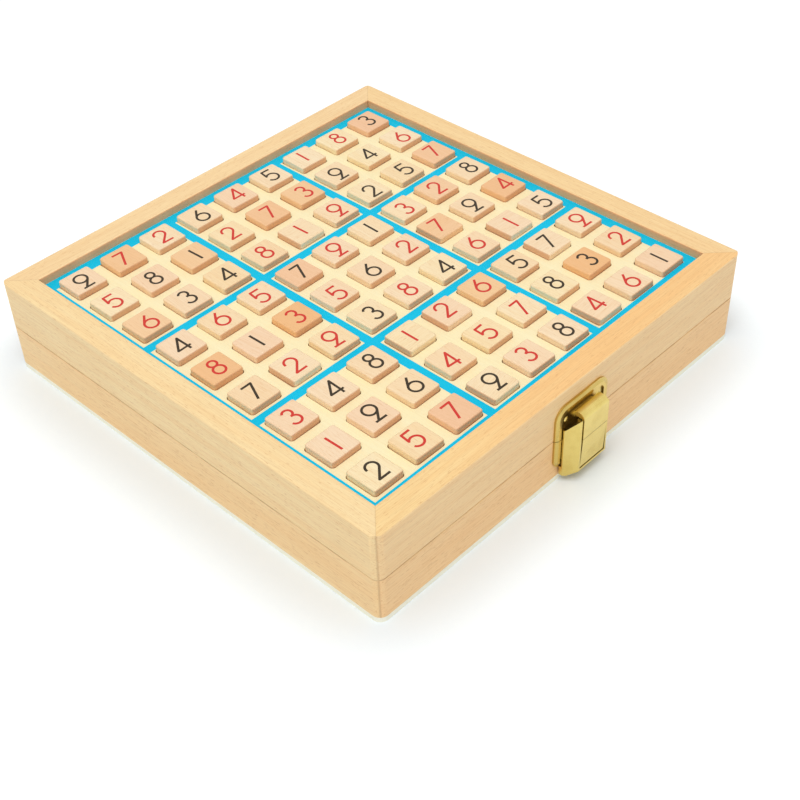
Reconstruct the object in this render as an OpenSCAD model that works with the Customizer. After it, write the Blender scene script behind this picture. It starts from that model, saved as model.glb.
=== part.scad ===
// Sudoku board: a hinged wooden box whose lid carries a nine by nine playing board with loose number tiles.
// Lengths are in millimetres. The origin is the middle of the underside and +Z is up.
// The clasp is at the front, towards -Y, and the hinges are at the back.

/* [Box] */
// Outside width and depth of the square box
box_size = 220; // [200:1:260]
// Height of the lid
lid_h = 22.5; // [20:0.5:32]
// Height of the base's rails
base_rail_h = 20; // [19:0.5:30]
// Thickness of the bottom panel
bottom_t = 2.5; // [2:0.1:4]
// Thickness of the rails, seen from above
rail_t = 11.5; // [9:0.5:14]
// Rounding of the rails' upright corners
corner_r = 4; // [1:0.1:6]
// Rounding of the bottom panel's corners
panel_r = 4; // [2:0.1:6]
// Rounding of the lid's upper outer edges
edge_r = 1; // [0.4:0.1:2]
// Rounding of the frame's upper inner edges
inner_edge_r = 0.5; // [0.2:0.1:1]
// Chamfer on the rails' outer edges where the lid meets the base
seam_chamfer = 0.35; // [0.2:0.05:0.8]

/* [Playing board] */
// Depth of the playing surface below the frame's top
recess_d = 4; // [3:0.1:6]
// Thickness of the sheet with the square cells
sheet_t = 2.2; // [1.5:0.1:3]
// Thickness of the panel behind that sheet
backing_t = 2.8; // [2:0.1:4]
// How far the board's edge lies in the rails' groove
groove_d = 4; // [2:0.1:6]
// Strip between the frame and the outermost cell squares
margin_w = 2.2; // [1:0.1:4]

/* [Tiles] */
// Width of a number tile
tile_w = 15; // [12:0.1:16]
// Thickness of a number tile
tile_t = 5; // [4:0.1:6]
// Rounding of a tile's upright corners
tile_corner_r = 1.2; // [0.6:0.1:2]
// Rounding of a tile's upper edges
tile_edge_r = 1; // [0.4:0.1:1.4]
// Gap between a tile and its cell, on each side
tile_gap = 0.35; // [0.2:0.05:0.5]

/* [Insert board] */
// Gap between the insert board and the base's inner walls
insert_gap = 14.5; // [2:0.5:20]
// Thickness of the insert's core
insert_core_t = 2.4; // [2:0.1:4]
// Thickness of the sheet on each face of the insert
insert_sheet_t = 1.6; // [1:0.1:2.5]
// Rounding of the insert's corners
insert_r = 5; // [2:0.5:10]
// Distance of the six by six cells from the middle of their face
insert_six_y = 5; // [0:0.5:8]

/* [Hinges] */
// Distance of each hinge from the middle of the back
hinge_x = 60; // [30:1:80]
// Length of a hinge along its pin
hinge_len = 24; // [18:1:40]
// Height of a hinge leaf from the pin's middle
leaf_h = 11; // [9:0.5:15]
// Thickness of a hinge leaf
leaf_t = 0.9; // [0.6:0.1:1.4]
// Radius of a hinge barrel
barrel_r = 1.8; // [1.5:0.1:2.4]
// Radius of a hinge pin
hinge_pin_r = 0.9; // [0.6:0.05:1.1]
// Distance of a leaf's nails from its ends
leaf_nail_inset = 5; // [3:0.5:7]

/* [Nails] */
// Radius of a nail's shank
nail_r = 0.6; // [0.4:0.05:0.8]
// Radius of a nail's head
nail_head_r = 1.3; // [1:0.1:1.6]
// Height of a nail's head
nail_head_h = 0.6; // [0.3:0.1:0.9]
// Length of a nail's shank in the wood
nail_len = 6; // [4:0.5:7]

/* [Clasp plates] */
// Distance of the clasp from the middle of the front
clasp_x = 2; // [-20:0.5:20]
// Width of the clasp's two plates
plate_w = 32; // [30:0.5:40]
// Thickness of the clasp's plates
plate_t = 0.8; // [0.5:0.1:1.2]
// Height of the strike plate above the seam
strike_h = 15.5; // [15:0.5:17]
// Rounding of the strike plate's upper corners
strike_r = 6; // [4:0.5:9]
// Height of the base plate below the seam
base_plate_h = 14.5; // [12:0.5:17]
// Rounding of the base plate's lower corners
base_plate_r = 4; // [3.8:0.1:6]
// Width of the raised rim round the plates
rim_w = 3.2; // [2:0.1:3.7]
// Height of the raised rim from the wood
rim_h = 1.5; // [1.2:0.1:2]
// Height of the rim's outer edge from the wood
rim_edge_h = 0.5; // [0.3:0.1:1]
// Width of the rim's slope
rim_slope_w = 1.6; // [0.8:0.1:2]
// Width of the strike plate's lip
lip_w = 13; // [8:0.5:14]
// Thickness of the strike plate's lip
lip_t = 1; // [0.6:0.1:1.4]
// Height of the lip above the seam
lip_up = 8; // [6:0.1:9]
// How far the lip stands out from the strike plate
lip_d = 0.7; // [0.4:0.1:1]
// Height of the strike plate's nails above the seam, and depth of the base plate's nails below it
plate_nail_up = 8; // [6:0.5:9.5]

/* [Clasp case and rocker] */
// How far the case stands out from the box
case_d = 7.4; // [6.8:0.1:9]
// Width of the case's flat front
case_front_w = 17.2; // [16.8:0.1:20]
// Depth of the case's upright sides before they slope in
case_foot_d = 2.4; // [2:0.1:4]
// Height of the case's upright sides above the seam
case_up = 4.5; // [2:0.1:5.5]
// How much higher the case's sides stand at their front edge
case_rise = 5.5; // [3:0.1:6]
// Depth of the case below the seam
case_down = 19; // [17.5:0.1:20.5]
// Wall thickness of the case
case_wall = 0.9; // [0.6:0.1:1.1]
// Height of the bevel at the case's lower edge
case_bevel_h = 2.6; // [1:0.1:2.8]
// Depth of the bevel at the case's lower edge
case_bevel_d = 3.6; // [1:0.1:4]
// Width of the rocker
rocker_w = 14.8; // [13.6:0.1:15]
// Thickness of the rocker's sheet
rocker_t = 1.2; // [0.8:0.1:1.5]
// How far the rocker's front stands out from the case's front
rocker_proud = 0.4; // [0:0.1:1]
// Height of the rocker above its pivot
rocker_up = 12.4; // [11.5:0.1:13.5]
// Length of the rocker below its pivot
rocker_down = 15; // [12:0.1:15.4]
// Inward tilt of the rocker's lower half, in degrees
rocker_tilt = 2.5; // [1:0.5:8]
// Radius of the rocker's rolled top, at its front and at its hooked end
hook_r = 2.6; // [1.6:0.1:3]
// Thickness of the rocker's two side flanges
flange_t = 0.8; // [0.5:0.1:1.2]
// Height of the side flanges above the pivot
flange_up = 9; // [6:0.1:9.5]
// Radius of the flanges round the pivot
flange_r = 2.2; // [1.6:0.1:2.4]
// Radius of the pivot pin
pivot_r = 0.8; // [0.6:0.05:1]
// Distance of the pivot pin from the box's front
pivot_out = 4.6; // [4:0.1:4.9]
// Width of the clasp's leaf spring
spring_w = 6; // [3:0.5:10]
// Thickness of the leaf spring
spring_t = 0.4; // [0.2:0.05:0.6]
// Radius of the leaf spring's bend
spring_bend_r = 1.4; // [0.8:0.1:1.6]
// Length of the leaf spring's free arm
spring_len = 7; // [5:0.1:8]

/* [Clearances] */
// Gap between a pin and its bore
pin_gap = 0.05; // [0.02:0.01:0.1]
// Gap between a nail and its hole
nail_gap = 0.05; // [0.02:0.01:0.1]
// Gap between hinge knuckles, and between a barrel and the wood
knuckle_gap = 0.3; // [0.2:0.05:0.5]
// Gap between each clasp plate and the seam
seam_gap = 0.15; // [0.1:0.05:0.3]
// Gap between clasp pieces that move past each other
clasp_gap = 0.4; // [0.3:0.05:0.6]
// Gap between the board's edge and the bottom of its groove
groove_gap = 0.3; // [0.1:0.05:0.6]

/* [Hidden] */
$fn = 48;
// Overrun of every cut past the face that it starts from
cut_over = 1;
// Cells along each side of the playing board and of the insert's two faces
board_cells = 9;
six_cells = 6;
four_cells = 4;
// Numerals of a solved puzzle, one text for each row, with the back row first
puzzle_rows = [
    "972645183",
    "581273946",
    "634819257",
    "465791328",
    "813562794",
    "729384615",
    "348126579",
    "196457832",
    "257938461"
];
// Box
half = box_size / 2;
seam_z = bottom_t + base_rail_h;
opening = box_size - 2 * rail_t;
// Playing board
board_t = sheet_t + backing_t;
board_size = opening + 2 * (groove_d - groove_gap);
groove_z = lid_h - recess_d - board_t;
backing_z = seam_z + groove_z;
sheet_z = backing_z + backing_t;
cell_pitch = (opening - 2 * margin_w) / board_cells;
cell_w = tile_w + 2 * tile_gap;
cell_r = tile_corner_r + tile_gap;
// Insert board
insert_size = opening - 2 * insert_gap;
// Hinges
axis_out = barrel_r + knuckle_gap;
leaf_start = barrel_r + knuckle_gap;
knuckle = hinge_len / 3;
lid_knuckles = [[-knuckle / 2 + knuckle_gap / 2, knuckle / 2 - knuckle_gap / 2]];
base_knuckles = [
    [-hinge_len / 2, -knuckle / 2 - knuckle_gap / 2],
    [knuckle / 2 + knuckle_gap / 2, hinge_len / 2]
];
leaf_nail_x = hinge_len / 2 - leaf_nail_inset;
leaf_nail_up = (leaf_start + leaf_h) / 2;
// Clasp, with the rim's section as x inwards from its outer edge and y out of the box
rim_section = [[0, 0], [0, rim_edge_h], [rim_slope_w, rim_h], [rim_w, rim_h], [rim_w, 0]];
case_foot_w = plate_w - 2 * (rim_w + clasp_gap);
case_rear = rim_h + clasp_gap;
case_top = case_up + case_rise;
top_slope = case_rise / (case_d - case_foot_d);
slot_w = rocker_w + 2 * clasp_gap;
slot_down = rocker_down + clasp_gap;
front_out = case_d + rocker_proud;
hook_tip = max(plate_t + lip_d, rim_h) + clasp_gap;
// The roll's radius stays under half of the depth that the roll spans
roll_limit_share = 0.48;
roll_r = min(hook_r, (front_out - hook_tip) * roll_limit_share);
// Places of the plates' nails: between the lip and the rim on the lid, inside the case's walls on the base
strike_nail_x = (lip_w / 2 + plate_w / 2 - rim_w) / 2;
base_nail_x = case_foot_w / 2 - case_wall - nail_head_r - clasp_gap;
// Slope of the case's sides, and half the length of the pivot pin, whose ends stop inside those walls
pin_end_share = 0.25;
slope = (case_foot_w - case_front_w) / 2 / (case_d - case_foot_d);
pivot_pin_half = case_foot_w / 2 - (pivot_out + pivot_r - case_foot_d) * slope - case_wall * pin_end_share;
// The spring's arm ends a gap short of the rocker's tilted lower half
spring_foot_up = -(rocker_down - spring_len) / 2;
spring_arm_out = plate_t + 2 * spring_bend_r;
spring_reach = spring_len - spring_foot_up;
spring_end_out = front_out - rocker_t / cos(rocker_tilt) - spring_reach * tan(rocker_tilt) - clasp_gap;
spring_rise = atan2(spring_end_out - spring_arm_out, spring_len);
// Colours
beech = [0.95, 0.82, 0.62];
pale_wood = [0.97, 0.91, 0.72];
tile_wood = [0.94, 0.80, 0.62];
brass = [0.80, 0.70, 0.38];
steel = [0.72, 0.72, 0.70];

// The corner that a rounding takes away, with the corner at the origin and the solid in the first quadrant
module rounding_cut(r) {
    difference() {
        translate([-cut_over, -cut_over]) square(r + cut_over);
        translate([r, r]) circle(r);
    }
}

// The corner that a chamfer takes away, placed the same way
module chamfer_cut(c) {
    polygon([[-cut_over, -cut_over], [c + cut_over, -cut_over], [-cut_over, c + cut_over]]);
}

module rounded_square(size, r) {
    difference() {
        square(size, center = true);
        for (turn = [0 : 3]) {
            rotate(90 * turn) translate([-size / 2, -size / 2]) rounding_cut(r);
        }
    }
}

// Places its children across the front or back face: x along the face, y up from the seam, z out of the box
module on_front() {
    translate([clasp_x, -half, seam_z]) rotate([90, 0, 0]) children();
}

module on_back(x) {
    translate([x, half, seam_z]) rotate([90, 0, 180]) children();
}

// A side view, y up and z out, made as wide as given along x
module side_view(width) {
    translate([-width / 2, 0, 0]) rotate([90, 0, 90]) linear_extrude(width) children();
}

// A round bar along x, centred on x = 0
module cross_bar(r, length) {
    translate([-length / 2, 0, 0]) rotate([0, 90, 0]) cylinder(r = r, h = length);
}

// A nail on a plate of the given thickness: a domed head and a shank in the wood
module nail(plate) {
    dome_r = (nail_head_r * nail_head_r + nail_head_h * nail_head_h) / (2 * nail_head_h);
    translate([0, 0, plate]) rotate_extrude() intersection() {
        translate([0, nail_head_h - dome_r]) circle(dome_r);
        square([nail_head_r, nail_head_h]);
    }
    translate([0, 0, -nail_len]) cylinder(r = nail_r, h = nail_len + plate);
}

module nail_hole(plate) {
    depth = nail_len + nail_gap;
    translate([0, 0, -depth]) cylinder(r = nail_r + nail_gap, h = depth + plate + cut_over);
}

module hinge_nail_places(up) {
    for (hinge = [-hinge_x, hinge_x], x = [-leaf_nail_x, leaf_nail_x]) {
        on_back(hinge) translate([x, up * leaf_nail_up, 0]) children();
    }
}

module strike_nail_places() {
    for (x = [-strike_nail_x, strike_nail_x]) {
        translate([x, plate_nail_up, 0]) children();
    }
}

module base_nail_places() {
    for (x = [-base_nail_x, base_nail_x]) {
        translate([x, -plate_nail_up, 0]) children();
    }
}

// Rails: a section, with x inwards from the outer face and y up, run along the front and mitred at both ends
module mitred_rail(height) {
    intersection() {
        translate([-half, -half, 0]) rotate([90, 0, 90]) linear_extrude(box_size) children();
        linear_extrude(height) intersection() {
            polygon([[0, 0], [-half, -half], [half, -half]]);
            rounded_square(box_size, corner_r);
        }
    }
}

module lid_rail(turn) {
    color(beech) translate([0, 0, seam_z]) rotate(turn) mitred_rail(lid_h) difference() {
        square([rail_t, lid_h]);
        chamfer_cut(seam_chamfer);
        translate([0, lid_h]) mirror([0, 1]) rounding_cut(edge_r);
        translate([rail_t, lid_h]) rotate(180) rounding_cut(inner_edge_r);
        translate([rail_t - groove_d, groove_z]) square([groove_d + cut_over, board_t]);
    }
}

module base_rail(turn) {
    color(beech) translate([0, 0, bottom_t]) rotate(turn) mitred_rail(base_rail_h) difference() {
        square([rail_t, base_rail_h]);
        translate([0, base_rail_h]) mirror([0, 1]) chamfer_cut(seam_chamfer);
    }
}

module base_rail_front() {
    difference() {
        base_rail(0);
        on_front() base_nail_places() nail_hole(0);
    }
}

module base_rail_right() {
    base_rail(90);
}

module base_rail_back() {
    difference() {
        base_rail(180);
        hinge_nail_places(-1) nail_hole(0);
    }
}

module base_rail_left() {
    base_rail(270);
}

module lid_rail_front() {
    difference() {
        lid_rail(0);
        on_front() strike_nail_places() nail_hole(0);
    }
}

module lid_rail_right() {
    lid_rail(90);
}

module lid_rail_back() {
    difference() {
        lid_rail(180);
        hinge_nail_places(1) nail_hole(0);
    }
}

module lid_rail_left() {
    lid_rail(270);
}

module bottom_panel() {
    color(pale_wood) linear_extrude(bottom_t) rounded_square(box_size, panel_r);
}

// Square cells, as many along each side as given, centred on the origin
function cell_at(i, cells) = (i - (cells - 1) / 2) * cell_pitch;

module cell_squares(cells) {
    for (i = [0 : cells - 1], j = [0 : cells - 1]) {
        translate([cell_at(i, cells), cell_at(j, cells)]) rounded_square(cell_w, cell_r);
    }
}

module board_backing() {
    color(pale_wood) translate([-board_size / 2, -board_size / 2, backing_z])
        cube([board_size, board_size, backing_t]);
}

module cell_sheet() {
    color(pale_wood) translate([0, 0, sheet_z]) linear_extrude(sheet_t) difference() {
        square(board_size, center = true);
        cell_squares(board_cells);
    }
}

// Tiles: a block with rounded upright corners and rounded upper edges, standing on its cell's floor
module tile_section() {
    difference() {
        translate([-tile_w / 2, 0]) square([tile_w, tile_t]);
        translate([-tile_w / 2, tile_t]) mirror([0, 1]) rounding_cut(tile_edge_r);
        translate([tile_w / 2, tile_t]) rotate(180) rounding_cut(tile_edge_r);
    }
}

module tile_run() {
    translate([0, tile_w / 2, 0]) rotate([90, 0, 0]) linear_extrude(tile_w) tile_section();
}

module tile() {
    intersection() {
        linear_extrude(tile_t) rounded_square(tile_w, tile_corner_r);
        tile_run();
        rotate(90) tile_run();
    }
}

module tile_set(numeral) {
    last = board_cells - 1;
    for (row = [0 : last], column = [0 : last]) {
        if (puzzle_rows[row][column] == str(numeral)) {
            color(tile_wood)
                translate([cell_at(column, board_cells), cell_at(last - row, board_cells), sheet_z]) tile();
        }
    }
}

module tiles_1() tile_set(1);
module tiles_2() tile_set(2);
module tiles_3() tile_set(3);
module tiles_4() tile_set(4);
module tiles_5() tile_set(5);
module tiles_6() tile_set(6);
module tiles_7() tile_set(7);
module tiles_8() tile_set(8);
module tiles_9() tile_set(9);

// Insert board: two sheets with square cells on one core, lying on the bottom panel
module insert_sheet(cells, y) {
    linear_extrude(insert_sheet_t) difference() {
        rounded_square(insert_size, insert_r);
        translate([0, y]) cell_squares(cells);
    }
}

module insert_sheet_four() {
    color(pale_wood) translate([0, 0, bottom_t]) insert_sheet(four_cells, 0);
}

module insert_core() {
    color(pale_wood) translate([0, 0, bottom_t + insert_sheet_t])
        linear_extrude(insert_core_t) rounded_square(insert_size, insert_r);
}

module insert_sheet_six() {
    color(pale_wood) translate([0, 0, bottom_t + insert_sheet_t + insert_core_t])
        insert_sheet(six_cells, insert_six_y);
}

// Hinges: a leaf above the pin, with its knuckles between the given places along the pin
module hinge_leaf(knuckles) {
    difference() {
        union() {
            translate([-hinge_len / 2, leaf_start, 0]) cube([hinge_len, leaf_h - leaf_start, leaf_t]);
            for (k = knuckles) {
                length = k[1] - k[0];
                translate([k[0], 0, 0]) cube([length, leaf_start, leaf_t]);
                translate([k[0] + length / 2, 0, axis_out]) cross_bar(barrel_r, length);
            }
        }
        translate([0, 0, axis_out]) cross_bar(hinge_pin_r + pin_gap, hinge_len + 2 * cut_over);
        for (x = [-leaf_nail_x, leaf_nail_x]) {
            translate([x, leaf_nail_up, 0]) nail_hole(leaf_t);
        }
    }
}

module hinge_leaf_lid(x) {
    color(brass) on_back(x) hinge_leaf(lid_knuckles);
}

module hinge_leaf_base(x) {
    color(brass) on_back(x) mirror([0, 1, 0]) hinge_leaf(base_knuckles);
}

module hinge_pin(x) {
    color(brass) on_back(x) translate([0, 0, axis_out]) cross_bar(hinge_pin_r, hinge_len);
}

module hinge_leaf_lid_left() hinge_leaf_lid(-hinge_x);
module hinge_leaf_lid_right() hinge_leaf_lid(hinge_x);
module hinge_leaf_base_left() hinge_leaf_base(-hinge_x);
module hinge_leaf_base_right() hinge_leaf_base(hinge_x);
module hinge_pin_left() hinge_pin(-hinge_x);
module hinge_pin_right() hinge_pin(hinge_x);

module hinge_nails_lid() {
    color(brass) hinge_nail_places(1) nail(leaf_t);
}

module hinge_nails_base() {
    color(brass) hinge_nail_places(-1) nail(leaf_t);
}

// Clasp plates: a flat plate from the seam up, with a raised rim along its three outer edges
module rim_bar(length) {
    translate([0, length, 0]) rotate([90, 0, 0]) linear_extrude(length) polygon(rim_section);
}

module rim_corner(r) {
    rotate_extrude(angle = 90) polygon([for (p = rim_section) [r - p[0], p[1]]]);
}

module rimmed_plate(height, r) {
    linear_extrude(plate_t) difference() {
        translate([-plate_w / 2, seam_gap]) square([plate_w, height - seam_gap]);
        translate([-plate_w / 2, height]) mirror([0, 1]) rounding_cut(r);
        translate([plate_w / 2, height]) rotate(180) rounding_cut(r);
    }
    for (side = [0, 1]) {
        mirror([side, 0, 0]) translate([-plate_w / 2, seam_gap, 0]) rim_bar(height - r - seam_gap);
        mirror([side, 0, 0]) translate([plate_w / 2 - r, height - r, 0]) rim_corner(r);
    }
    translate([-plate_w / 2 + r, height, 0]) rotate(-90) rim_bar(plate_w - 2 * r);
}

module clasp_strike_plate() {
    color(brass) on_front() difference() {
        union() {
            rimmed_plate(strike_h, strike_r);
            translate([-lip_w / 2, lip_up, 0]) cube([lip_w, lip_t, plate_t + lip_d]);
        }
        strike_nail_places() nail_hole(plate_t);
    }
}

module clasp_base_plate() {
    color(brass) on_front() difference() {
        mirror([0, 1, 0]) rimmed_plate(base_plate_h, base_plate_r);
        base_nail_places() nail_hole(plate_t);
    }
}

module clasp_nails_lid() {
    color(brass) on_front() strike_nail_places() nail(plate_t);
}

module clasp_nails_base() {
    color(brass) on_front() base_nail_places() nail(plate_t);
}

// Clasp case: a block with sloping sides and a bevelled lower edge, less the given wall, from back to top
module case_block(wall, back, top) {
    foot = case_foot_w / 2 - wall;
    front = case_front_w / 2 - wall;
    low = -case_down + wall;
    out = case_d - wall;
    intersection() {
        translate([0, top, 0]) rotate([90, 0, 0]) linear_extrude(top - low)
            polygon([
                [-foot, back], [-foot, case_foot_d], [-front, out],
                [front, out], [foot, case_foot_d], [foot, back]
            ]);
        side_view(case_foot_w)
            polygon([[low, back], [low, case_bevel_d], [low + case_bevel_h, out], [top, out], [top, back]]);
    }
}

// What the case's top loses above its slope, which rises from the upright sides to the front edge
module case_top_cut() {
    high = case_top + top_slope * cut_over;
    over = high + 2 * cut_over;
    side_view(plate_w) polygon([
        [case_up, -cut_over], [case_up, case_foot_d], [high, case_d + cut_over],
        [over, case_d + cut_over], [over, -cut_over]
    ]);
}

module clasp_case() {
    color(brass) on_front() difference() {
        case_block(0, plate_t, case_top + cut_over);
        case_block(case_wall, plate_t - cut_over, case_top + 2 * cut_over);
        case_top_cut();
        translate([-plate_w / 2, -seam_gap, 0]) cube([plate_w, case_up + cut_over, case_rear]);
        translate([-plate_w / 2, -base_plate_h - clasp_gap, 0])
            cube([plate_w, base_plate_r + clasp_gap, case_rear]);
        translate([-slot_w / 2, -slot_down, case_d - case_wall - cut_over])
            cube([slot_w, slot_down + case_top + 2 * cut_over, case_wall + 2 * cut_over]);
        translate([0, 0, pivot_out]) cross_bar(pivot_r + pin_gap, 2 * (pivot_pin_half + pin_gap));
    }
}

module clasp_pivot_pin() {
    color(steel) on_front() translate([0, 0, pivot_out]) cross_bar(pivot_r, 2 * pivot_pin_half);
}

// A quarter of a ring as thick as the rocker's sheet
module quarter_ring(r) {
    intersection() {
        difference() {
            circle(r);
            circle(r - rocker_t);
        }
        square(r + cut_over);
    }
}

// Rocker: a sheet seen from the side, its lower half tilted in and its top rolled back and down into a hook
module rocker_side() {
    roll_up = rocker_up - roll_r;
    roll_gap = front_out - hook_tip - 2 * roll_r;
    translate([0, front_out - rocker_t]) square([roll_up, rocker_t]);
    translate([0, front_out]) rotate(rocker_tilt) translate([-rocker_down, -rocker_t])
        square([rocker_down, rocker_t]);
    translate([roll_up, front_out - roll_r]) quarter_ring(roll_r);
    translate([rocker_up - rocker_t, hook_tip + roll_r]) square([rocker_t, roll_gap]);
    translate([roll_up, hook_tip + roll_r]) mirror([0, 1]) quarter_ring(roll_r);
    translate([roll_up, hook_tip + rocker_t / 2]) circle(rocker_t / 2);
}

module flange_side() {
    translate([0, pivot_out]) circle(flange_r);
    translate([-flange_r, pivot_out]) square([flange_r + flange_up, front_out - rocker_t / 2 - pivot_out]);
}

module clasp_rocker() {
    color(brass) on_front() difference() {
        union() {
            side_view(rocker_w) rocker_side();
            for (side = [-1, 1]) {
                translate([side * (rocker_w - flange_t) / 2, 0, 0]) side_view(flange_t) flange_side();
            }
        }
        translate([0, 0, pivot_out]) cross_bar(pivot_r + pin_gap, rocker_w + 2 * cut_over);
    }
}

// Leaf spring: a foot on the base plate, a bend near the pivot and an arm that rises under the rocker
module spring_side() {
    translate([spring_foot_up - spring_len, plate_t]) square([spring_len, spring_t]);
    translate([spring_foot_up, plate_t + spring_bend_r]) intersection() {
        difference() {
            circle(spring_bend_r);
            circle(spring_bend_r - spring_t);
        }
        translate([0, -spring_bend_r]) square(2 * spring_bend_r);
    }
    translate([spring_foot_up, spring_arm_out - spring_t / 2]) rotate(-spring_rise) {
        translate([-spring_len, -spring_t / 2]) square([spring_len, spring_t]);
        circle(spring_t / 2);
    }
}

module clasp_spring() {
    color(steel) on_front() side_view(spring_w) spring_side();
}

base_rail_front();
base_rail_right();
base_rail_back();
base_rail_left();
bottom_panel();
lid_rail_front();
lid_rail_right();
lid_rail_back();
lid_rail_left();
board_backing();
cell_sheet();
hinge_leaf_base_left();
hinge_leaf_base_right();
hinge_leaf_lid_left();
hinge_leaf_lid_right();
hinge_pin_left();
hinge_pin_right();
hinge_nails_base();
hinge_nails_lid();
clasp_strike_plate();
clasp_nails_lid();
clasp_base_plate();
clasp_nails_base();
clasp_case();
clasp_pivot_pin();
clasp_spring();
clasp_rocker();
insert_core();
insert_sheet_six();
insert_sheet_four();
tiles_1();
tiles_2();
tiles_3();
tiles_4();
tiles_5();
tiles_6();
tiles_7();
tiles_8();
tiles_9();
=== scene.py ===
# Looks of the sudoku board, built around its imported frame
import math
import random

import bmesh
import bpy
from mathutils import Matrix, Vector
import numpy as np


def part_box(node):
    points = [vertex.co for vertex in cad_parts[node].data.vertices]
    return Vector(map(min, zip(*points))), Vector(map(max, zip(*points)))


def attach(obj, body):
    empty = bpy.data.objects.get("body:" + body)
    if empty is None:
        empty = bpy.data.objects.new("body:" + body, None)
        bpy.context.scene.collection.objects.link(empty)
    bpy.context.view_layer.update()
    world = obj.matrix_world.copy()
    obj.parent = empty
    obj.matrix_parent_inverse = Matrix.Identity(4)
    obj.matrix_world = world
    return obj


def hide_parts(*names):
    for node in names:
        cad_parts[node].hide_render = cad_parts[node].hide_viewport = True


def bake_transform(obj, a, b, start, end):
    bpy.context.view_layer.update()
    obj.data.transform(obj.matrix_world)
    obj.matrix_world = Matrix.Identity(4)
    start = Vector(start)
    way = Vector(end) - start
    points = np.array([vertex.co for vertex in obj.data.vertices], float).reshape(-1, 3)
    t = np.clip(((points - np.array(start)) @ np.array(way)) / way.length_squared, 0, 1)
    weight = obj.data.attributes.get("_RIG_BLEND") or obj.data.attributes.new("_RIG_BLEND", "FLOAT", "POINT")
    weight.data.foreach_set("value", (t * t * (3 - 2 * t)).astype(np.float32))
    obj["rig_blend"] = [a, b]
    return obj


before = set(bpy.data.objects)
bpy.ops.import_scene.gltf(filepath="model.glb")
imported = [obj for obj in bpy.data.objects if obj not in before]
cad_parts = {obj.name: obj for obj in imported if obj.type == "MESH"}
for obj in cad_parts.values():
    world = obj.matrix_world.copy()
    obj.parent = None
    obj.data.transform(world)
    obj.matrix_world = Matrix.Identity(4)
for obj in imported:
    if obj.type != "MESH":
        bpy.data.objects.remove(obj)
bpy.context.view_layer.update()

MM = 0.001
SEED = 9
dice = random.Random(SEED)

# Camera: where it looks, from how far and from which side, with its turn about its own axis
CAMERA_TARGET = Vector((-53.2, -67.32, 45.0)) * MM
CAMERA_DISTANCE = 519.15 * MM
CAMERA_AZIMUTH = math.radians(-45.02)
CAMERA_ELEVATION = math.radians(41.474)
CAMERA_ROLL = math.radians(-2.265)
CAMERA_LENS = 62.588
CAMERA_SENSOR = 36.0

# Board: cells along a side, cells along a block, and the tiles' own sizes
CELLS = 9
BLOCK = 3
TILE_W = 15.0 * MM
TILE_T = 5.0 * MM
TILE_CORNER_R = 1.2 * MM
TILE_EDGE_R = 0.7 * MM
TILE_FOOT_R = 0.3 * MM
TILE_CORNER_SEGMENTS = 4
TILE_EDGE_SEGMENTS = 5
TILE_FOOT_SEGMENTS = 2
# Numerals on the board, from its back row to its front row
PUZZLE = (
    "972645183",
    "581273946",
    "634819257",
    "465791328",
    "813562794",
    "729384615",
    "348126579",
    "196457832",
    "257938461",
)
# Inks of the numerals, B for black and R for red
CORNER_ROW = "BRRBRBRRB"
SIDE_ROW = "RBBRRRBBR"
MIDDLE_ROW = "RBRRBRRBR"
INKS = (
    CORNER_ROW, SIDE_ROW, SIDE_ROW,
    CORNER_ROW, MIDDLE_ROW, CORNER_ROW,
    SIDE_ROW, SIDE_ROW, CORNER_ROW,
)

# Printed lines of the playing board: bands off the middle, the border's inner edges, and rise per run
INK_T = 0.03 * MM
BAND_W = 4.4 * MM
BAND_OFF = -0.25 * MM
BAND_RISE = 0.0025
BORDER_LEFT = -95.0 * MM
BORDER_RIGHT = 93.1 * MM
BORDER_FRONT = -94.1 * MM
BORDER_BACK = 92.9 * MM
BORDER_RISE = 0.008
WALL_GAP = 0.05 * MM

# Printed lines of the insert board
INSERT_LINE_W = 4.3 * MM
INSERT_SIX_Y = 5.0 * MM
SIX_CELLS = 6
SIX_BLOCK_ROWS = 2
FOUR_CELLS = 4

# Numerals: their stroke, the half height of their middle lines in millimetres, and the step of arcs
STROKE = 1.05 * MM
DIGIT_TOP = 4.5
ARC_STEP = math.radians(9)

# Rolled hook of the clasp's rocker: its sheet, its roll, its depth, and the inset of its core's ends
HOOK_T = 1.2 * MM
HOOK_R = 2.6 * MM
HOOK_SPAN = 5.9 * MM
HOOK_INSET = 0.15 * MM
# Leaf spring of the clasp: its sheet, the outside of its bend, its arm, the arm's steps and its soft edge
SPRING_T = 0.4 * MM
SPRING_BEND_R = 1.4 * MM
SPRING_ARM = 7.0 * MM
SPRING_STEPS = 8
SPRING_EDGE = 0.08 * MM
# Turns a section drawn in y and z upright, with its length along x
UPRIGHT = Matrix(((0, 0, 1, 0), (1, 0, 0, 0), (0, 1, 0, 0), (0, 0, 0, 1)))

# Edges softened on the wood and on the metal
WOOD_EDGE = 0.25 * MM
METAL_EDGE = 0.18 * MM
EDGE_ANGLE = math.radians(30)
EDGE_SEGMENTS = 2
WELD_GAP = 0.001 * MM


def colour(red, green, blue):
    """A colour as it looks in an image, 0 to 255, as linear red, green, blue and alpha."""
    shares = [part / 255 for part in (red, green, blue)]
    linear = [s / 12.92 if s <= 0.04045 else ((s + 0.055) / 1.055) ** 2.4 for s in shares]
    return (*linear, 1.0)


# Materials
# Sockets of a Mix node that mixes colours
MIX_SHARE = 0
MIX_FIRST = 6
MIX_SECOND = 7
MIX_RESULT = 2


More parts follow.
